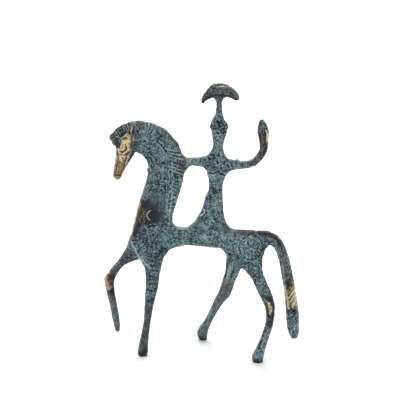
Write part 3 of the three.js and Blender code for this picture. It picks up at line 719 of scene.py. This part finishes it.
def bronze_material(settings, casting):
    """Verdigris over dark bronze, worn through to bare metal in places."""
    material = bpy.data.materials.new("patinated_bronze")
    material.use_nodes = True
    tree = material.node_tree
    tree.nodes.clear()
    group = ragged_group()

    def colour(name):
        return (*getattr(settings, name), 1.0)

    def mask(name):
        return add(tree, "ShaderNodeAttribute", attribute_name=name).outputs["Fac"]

    def times(a, b):
        return maths(tree, "MULTIPLY", a, b)

    def larger(a, b):
        return maths(tree, "MAXIMUM", a, b)

    def ranged(name, value):
        """A value eased over the named range."""
        return ramp(tree, value, *RANGES[name])

    def cloud(name):
        """The named noise layer."""
        return noise(tree, point, *NOISES[name])

    def about_zero(value):
        return maths(tree, "SUBTRACT", value, 0.5)

    def finer_marks(scale_up, seed_up):
        return scribble(tree, point, scale * scale_up, seed + seed_up)

    def broken(name, level):
        """A mask with the named kind of ragged edge."""
        return ragged(tree, group, level, point, *EDGES[name])

    def weighed(name, parts):
        """The sum of the parts, each with its weight in the named list."""
        total = 0.0
        for part, weight in WEIGHTS[name].items():
            total = maths(tree, "ADD", total, times(parts[part], weight))
        return total

    place = add(tree, "ShaderNodeTexCoord").outputs["Object"]
    point = add(tree, "ShaderNodeVectorMath", {0: place, "Scale": 1 / MM},
                operation="SCALE").outputs[0]
    scale = MM / casting.mark
    seed = float(casting.seed)
    rim = mask("rim")
    parts = {
        "height": marks_height(tree, point, scale, seed),
        "cut": mask("cut"),
        "crest": mask("crest"),
        "bare": mask("bare"),
        "deep": mask("deep"),
        "fair": mask("fair"),
        "fine": about_zero(cloud("fine")),
        "cloud": about_zero(cloud("cloud")),
        "blotch": about_zero(cloud("blotch")),
        "fleck": finer_marks(*FLECK_MARKS),
        "nick": finer_marks(*NICK_MARKS),
        "speck": ranged("speck", cloud("speck")),
    }

    sleek = ranged("sleek", mask("sleek"))
    uneven = maths(tree, "SUBTRACT", 1.0, times(sleek, SLEEK_CALMS))
    parts["marks"] = times(weighed("marks", parts), uneven)
    level = weighed("level", parts)
    bloom = ranged("bloom", level)
    powdery = ranged("powdery", level)
    parts["powdery"] = powdery

    green = broken("teal", mask("teal"))
    greener = larger(times(ranged("hue", cloud("hue")), HUE_SHARE), green)
    high = blend(tree, greener, colour("verdigris"), colour("teal"))
    ground = blend(tree, bloom, colour("recess"), high)
    ground = blend(tree, powdery, ground, colour("powder"))
    ground = blend(tree, times(sleek, SLEEK_SHARE), ground, colour("rubbed"))

    worn_rim = broken("rim", times(rim, RIM_LEVEL))
    thin = larger(broken("brown", mask("brown")), times(worn_rim, RIM_SHARE))
    thin = larger(thin, ranged("thin by bare", parts["bare"]))
    browned = blend(tree, bloom, colour("soot"), colour("brown"))
    kept_powder = times(powdery, weighed("kept powder", parts))
    browned = blend(tree, kept_powder, browned, colour("powder"))
    ground = blend(tree, times(thin, THIN_SHARE), ground, browned)
    # Purple black stains, and painted shade at the hoof bottoms, kept off the raised strokes
    off_crest = maths(tree, "SUBTRACT", STAIN_AND_SHADE_SHARE, times(parts["crest"], STAIN_AND_SHADE_OFF_CREST))
    stain_and_shade_share = times(broken("soot", mask("soot")), off_crest)
    ground = blend(tree, stain_and_shade_share, ground, colour("soot"))
    # Painted highlight on the rims that face up
    painted_rim_highlight = times(broken("pale", mask("pale")), rim)
    ground = blend(tree, painted_rim_highlight, ground, colour("painted_rim_highlight"))

    flecks = broken("flecked", times(mask("flecked"), FLECK_LEVEL))
    rub = larger(broken("bare", parts["bare"]), flecks)
    cleared = weighed("cleared", parts)
    bare = times(rub, ranged("cleared", cleared))
    clean = blend(tree, ranged("warm", mask("warm")), colour("bronze"), colour("copper"))
    metal = blend(tree, ranged("clean", cleared), colour("tarnish"), clean)
    worn = blend(tree, bare, ground, metal)
    # Fresh scratches and painted highlights
    glint = ranged("bright", mask("bright"))
    final = blend(tree, glint, worn, colour("bright"))
    metallic = larger(bare, glint)

    bumps = maths(tree, "ADD", times(cloud("grain"), GRAIN_BUMP),
                  times(parts["height"], MARK_BUMP))
    bump = add(tree, "ShaderNodeBump", {"Strength": 1.0, "Distance": 1.0, "Height": bumps})
    rough = maths(tree, "SUBTRACT", settings.dull,
                  times(metallic, settings.dull - settings.polish))
    shader = add(tree, "ShaderNodeBsdfPrincipled",
                 {"Base Color": final, "Metallic": metallic, "Roughness": rough,
                  "Normal": bump.outputs[0], "Specular IOR Level": SHEEN})
    add(tree, "ShaderNodeOutputMaterial", {"Surface": shader.outputs[0]})
    return material


def floor_material(settings):
    """Pale matt floor with a faint unevenness."""
    material = bpy.data.materials.new("pale_floor")
    material.use_nodes = True
    tree = material.node_tree
    tree.nodes.clear()
    place = add(tree, "ShaderNodeTexCoord").outputs["Object"]
    cloud = add(tree, "ShaderNodeTexNoise", {"Vector": place, "Scale": 3.0, "Detail": 2.0})
    tone = tuple(FLOOR_SHADE * part for part in settings.floor)
    shade = blend(tree, cloud.outputs[0], (*settings.floor, 1.0), (*tone, 1.0))
    shader = add(tree, "ShaderNodeBsdfPrincipled",
                 {"Base Color": shade, "Roughness": 0.9, "Specular IOR Level": 0.1})
    add(tree, "ShaderNodeOutputMaterial", {"Surface": shader.outputs[0]})
    return material


def rows(things, name, width, kind=float):
    """A value of every point or edge of a mesh, as rows."""
    values = np.zeros(len(things) * width, kind)
    things.foreach_get(name, values)
    return values.reshape(-1, width)


def move_points(mesh, points):
    """Puts a mesh's points in new places."""
    mesh.vertices.foreach_set("co", points.ravel())
    mesh.update()


def even_skin(grain):
    """A closed mesh of even small faces over the CAD solid."""
    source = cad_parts[CAD_NODE].data
    work = bmesh.new()
    work.from_mesh(source)
    bmesh.ops.remove_doubles(work, verts=work.verts, dist=MERGE_REACH * MM)
    mesh = bpy.data.meshes.new("merged_solid")
    work.to_mesh(mesh)
    work.free()
    thing = bpy.data.objects.new("merged_solid", mesh)
    bpy.context.scene.collection.objects.link(thing)
    remesh = thing.modifiers.new("Even skin", "REMESH")
    remesh.mode = "VOXEL"
    remesh.voxel_size = grain
    remesh.use_smooth_shade = True
    skin = plain_mesh(thing, "skin")
    bpy.data.objects.remove(thing)
    return skin


def plain_mesh(thing, name):
    """What a thing's modifiers make of it, as a mesh of its own."""
    graph = bpy.context.evaluated_depsgraph_get()
    graph.update()
    mesh = bpy.data.meshes.new_from_object(thing.evaluated_get(graph),
                                           preserve_all_data_layers=True, depsgraph=graph)
    mesh.name = name
    return mesh


def neighbour_mean(points, pairs, count):
    """The mean of each point's neighbours."""
    total = np.zeros_like(points)
    for k in range(points.shape[1]):
        total[:, k] = (np.bincount(pairs[:, 0], points[pairs[:, 1], k], len(points))
                       + np.bincount(pairs[:, 1], points[pairs[:, 0], k], len(points)))
    return total / count[:, None]


def smoothed(points, pairs, rounds):
    """Points eased without shrinking, by steps in and out."""
    count = np.bincount(pairs.ravel(), minlength=len(points)).astype(float)
    count[count == 0] = 1.0
    for _ in range(rounds):
        for step in (EASE_IN, EASE_OUT):
            points = points + step * (neighbour_mean(points, pairs, count) - points)
    return points


def distance_to(lines, flat):
    """Distance of each (x, z) point to the nearest of some polylines, in millimetres."""
    nearest = np.full(len(flat), 1e9)
    for line in lines:
        for a, b in zip(line[:-1], line[1:]):
            start, way = np.array(a, float), np.array(b, float) - np.array(a, float)
            share = np.clip((flat - start) @ way / max(way @ way, 1e-9), 0.0, 1.0)
            gap = np.linalg.norm(flat - start - share[:, None] * way, axis=1)
            nearest = np.minimum(nearest, gap)
    return nearest


def ease(value, low, high):
    """0 below low, 1 above high and smooth between."""
    share = np.clip((value - low) / (high - low), 0.0, 1.0)
    return share * share * (3 - 2 * share)


def side_share(side, normal):
    """How much each point belongs to the near side, the far side or either."""
    if side == EITHER:
        return np.ones(len(normal))
    return ease(side * normal[:, 1], *SIDE_TURN)


def carve(points, normal):
    """Cuts and raises the drawn lines: the points, and how cut and how raised each is."""
    flat = points[:, (0, 2)] / MM
    drop = np.zeros(len(points))
    lift = np.zeros(len(points))
    broad = ease(np.abs(normal[:, 1]), *BROAD_TURN)
    for side, depth, width, lip_height, lines in CUTS:
        share = side_share(side, normal) * broad
        gap = distance_to(lines, flat)
        drop = np.maximum(drop, share * depth * np.exp(-((gap / width) ** 2)))
        lip = np.exp(-(((gap - LIP_REACH) / LIP_HALF) ** 2))
        lift = np.maximum(lift, share * lip_height * lip)
    for side, height, width, lines in RIDGES:
        share = side_share(side, normal) * broad
        gap = distance_to(lines, flat)
        lift = np.maximum(lift, share * height * np.exp(-((gap / width) ** 2)))
    lift *= np.clip(1 - drop / LIP_ENDS, 0, 1)
    swell = np.full(len(points), SWELL)
    for centre, height, radius in LUMPS:
        gap = distance_to([[centre, centre]], flat)
        swell += height * np.exp(-((gap / radius) ** 2))
    shift = (lift + swell - drop) * MM
    cut = np.clip(drop / DEEP_CUT, 0, 1)
    crest = np.clip(lift / HIGH_CREST, 0, 1)
    return points + normal * shift[:, None], cut, crest


def patch_masks(points, normal):
    """Soft masks of the worn and stained places and of the painted highlight and shade, 0.5 on
    their edge.
    """
    flat = points[:, (0, 2)] / MM
    masks = {kind: np.zeros(len(points)) for kind in PATCHES}
    for kind, patches in PATCHES.items():
        for side, width, lines in patches:
            level = np.clip(1 - distance_to(lines, flat) / (2 * width), 0, 1)
            masks[kind] = np.maximum(masks[kind], level * side_share(side, normal))
    return masks


def calm_share(points, masks, cut):
    """How calm each point's ground is: on bare metal, in cuts, on handled legs and soles."""
    metal = CALM_ON_METAL * ease(masks["bare"], *CALM_BARE)
    calm = np.maximum(metal, CALM_IN_CUT * cut)
    calm = np.maximum(calm, CALM_SLEEK * masks["sleek"])
    return np.maximum(calm, ease(-points[:, 2] / MM, *CALM_SOLE))


def store(mesh, name, values):
    """Keeps a value for each point on the mesh."""
    layer = mesh.attributes.new(name, "FLOAT", "POINT")
    layer.data.foreach_set("value", np.asarray(values, np.float32))


def held_in_box(points):
    """Points kept inside the solid's box, with the soles flat on the floor."""
    low, high = np.array(CAD_BOX[0]), np.array(CAD_BOX[1])
    points = np.clip(points, low, high)
    sole = points[:, 2] < SOLE_BAND * MM
    points[sole, 2] = 0.0
    return points


class BRONZE_OT_horse_and_rider(bpy.types.Operator):
    """Build the horse and rider as one casting with its relief and patina"""

    bl_idname = "bronze.horse_and_rider"
    bl_label = "Build horse and rider"

    def execute(self, context):
        casting = context.scene.bronze_casting
        mesh = even_skin(casting.grain)
        pairs = rows(mesh.edges, "vertices", 2, np.int64)
        points = smoothed(rows(mesh.vertices, "co", 3), pairs, casting.smoothing)
        move_points(mesh, points)
        normal = rows(mesh.vertices, "normal", 3)
        points, cut, crest = carve(points, normal)
        masks = patch_masks(points, normal)
        move_points(mesh, points)
        for kind, mask in masks.items():
            store(mesh, kind, mask)
        store(mesh, "cut", cut)
        store(mesh, "crest", crest)
        store(mesh, "rim", ease(1 - np.abs(normal[:, 1]), *RIM_TURN))
        store(mesh, "calm", calm_share(points, masks, cut))

        piece = bpy.data.objects.new(PIECE, mesh)
        context.scene.collection.objects.link(piece)
        material = bronze_material(context.scene.bronze_patina, casting)
        tree, names = relief_tree(material)
        modifier = piece.modifiers.new("Cast relief", "NODES")
        modifier.node_group = tree
        modifier[names["Depth"]] = casting.relief
        modifier[names["Mark size"]] = casting.mark
        modifier[names["Seed"]] = float(casting.seed)
        finished = plain_mesh(piece, PIECE)
        piece.modifiers.remove(modifier)
        piece.data = finished
        finished.shade_smooth()
        move_points(finished, held_in_box(rows(finished.vertices, "co", 3)))
        if not finished.polygons or not finished.materials:
            raise RuntimeError("the casting has no faces or no material")
        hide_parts(CAD_NODE)
        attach(piece, BODY)
        return {"FINISHED"}


class BRONZE_OT_stage(bpy.types.Operator):
    """Set the pale floor, the soft light and the camera"""

    bl_idname = "bronze.stage"
    bl_label = "Set stage"

    def execute(self, context):
        scene = context.scene
        stage = scene.bronze_stage
        mesh = bpy.data.meshes.new(FLOOR)
        signs = ((-1, -1), (1, -1), (1, 1), (-1, 1))
        corners = [(x * FLOOR_HALF, y * FLOOR_HALF, 0) for x, y in signs]
        mesh.from_pydata(corners, [], [(0, 1, 2, 3)])
        mesh.materials.append(floor_material(stage))
        floor = bpy.data.objects.new(FLOOR, mesh)
        scene.collection.objects.link(floor)

        world = bpy.data.worlds.new("soft_surround")
        world.use_nodes = True
        ground = world.node_tree.nodes["Background"]
        ground.inputs["Color"].default_value = (1.0, 1.0, 1.0, 1.0)
        ground.inputs["Strength"].default_value = stage.surround
        scene.world = world
        for name, place, size, power in SOFT_BOXES:
            soft_box(scene, name, place, size, getattr(stage, power))

        aim = Vector(stage.aim)
        back = Vector((0.0, -math.cos(stage.elevation), math.sin(stage.elevation)))
        lens = bpy.data.cameras.new("camera")
        lens.lens = stage.lens
        lens.clip_start = CLIP_START
        camera = bpy.data.objects.new("camera", lens)
        camera.location = aim + back * stage.distance
        camera.rotation_euler = (-back).to_track_quat("-Z", "Y").to_euler()
        scene.collection.objects.link(camera)
        scene.camera = camera
        scene.view_settings.view_transform = "Standard"
        return {"FINISHED"}


def soft_box(scene, name, place, size, power):
    """A square soft light that faces the middle of the casting."""
    light = bpy.data.lights.new(name, "AREA")
    light.shape = "SQUARE"
    light.size = size
    light.energy = power
    lamp = bpy.data.objects.new(name, light)
    lamp.location = place
    lamp.visible_camera = False
    to_middle = Vector(LIGHT_AIM) - lamp.location
    lamp.rotation_euler = to_middle.to_track_quat("-Z", "Y").to_euler()
    scene.collection.objects.link(lamp)


class BRONZE_PT_panel(bpy.types.Panel):
    """Sidebar panel with the settings and the build buttons"""

    bl_idname = "BRONZE_PT_panel"
    bl_label = "Bronze horse and rider"
    bl_space_type = "VIEW_3D"
    bl_region_type = "UI"
    bl_category = "Bronze"

    def draw(self, context):
        layout = self.layout
        for group in ("bronze_casting", "bronze_patina", "bronze_stage"):
            settings = getattr(context.scene, group)
            box = layout.box()
            for name in settings.__annotations__:
                box.prop(settings, name)
        layout.operator("bronze.horse_and_rider")
        layout.operator("bronze.stage")


CLASSES = (CastingSettings, PatinaSettings, StageSettings, BRONZE_OT_horse_and_rider,
           BRONZE_OT_stage, BRONZE_PT_panel)


def register():
    for kind in CLASSES:
        bpy.utils.register_class(kind)
    bpy.types.Scene.bronze_casting = bpy.props.PointerProperty(type=CastingSettings)
    bpy.types.Scene.bronze_patina = bpy.props.PointerProperty(type=PatinaSettings)
    bpy.types.Scene.bronze_stage = bpy.props.PointerProperty(type=StageSettings)


def unregister():
    del bpy.types.Scene.bronze_stage
    del bpy.types.Scene.bronze_patina
    del bpy.types.Scene.bronze_casting
    for kind in reversed(CLASSES):
        bpy.utils.unregister_class(kind)


def main():
    register()
    bpy.ops.bronze.horse_and_rider()
    bpy.ops.bronze.stage()


if __name__ == "__main__":
    main()
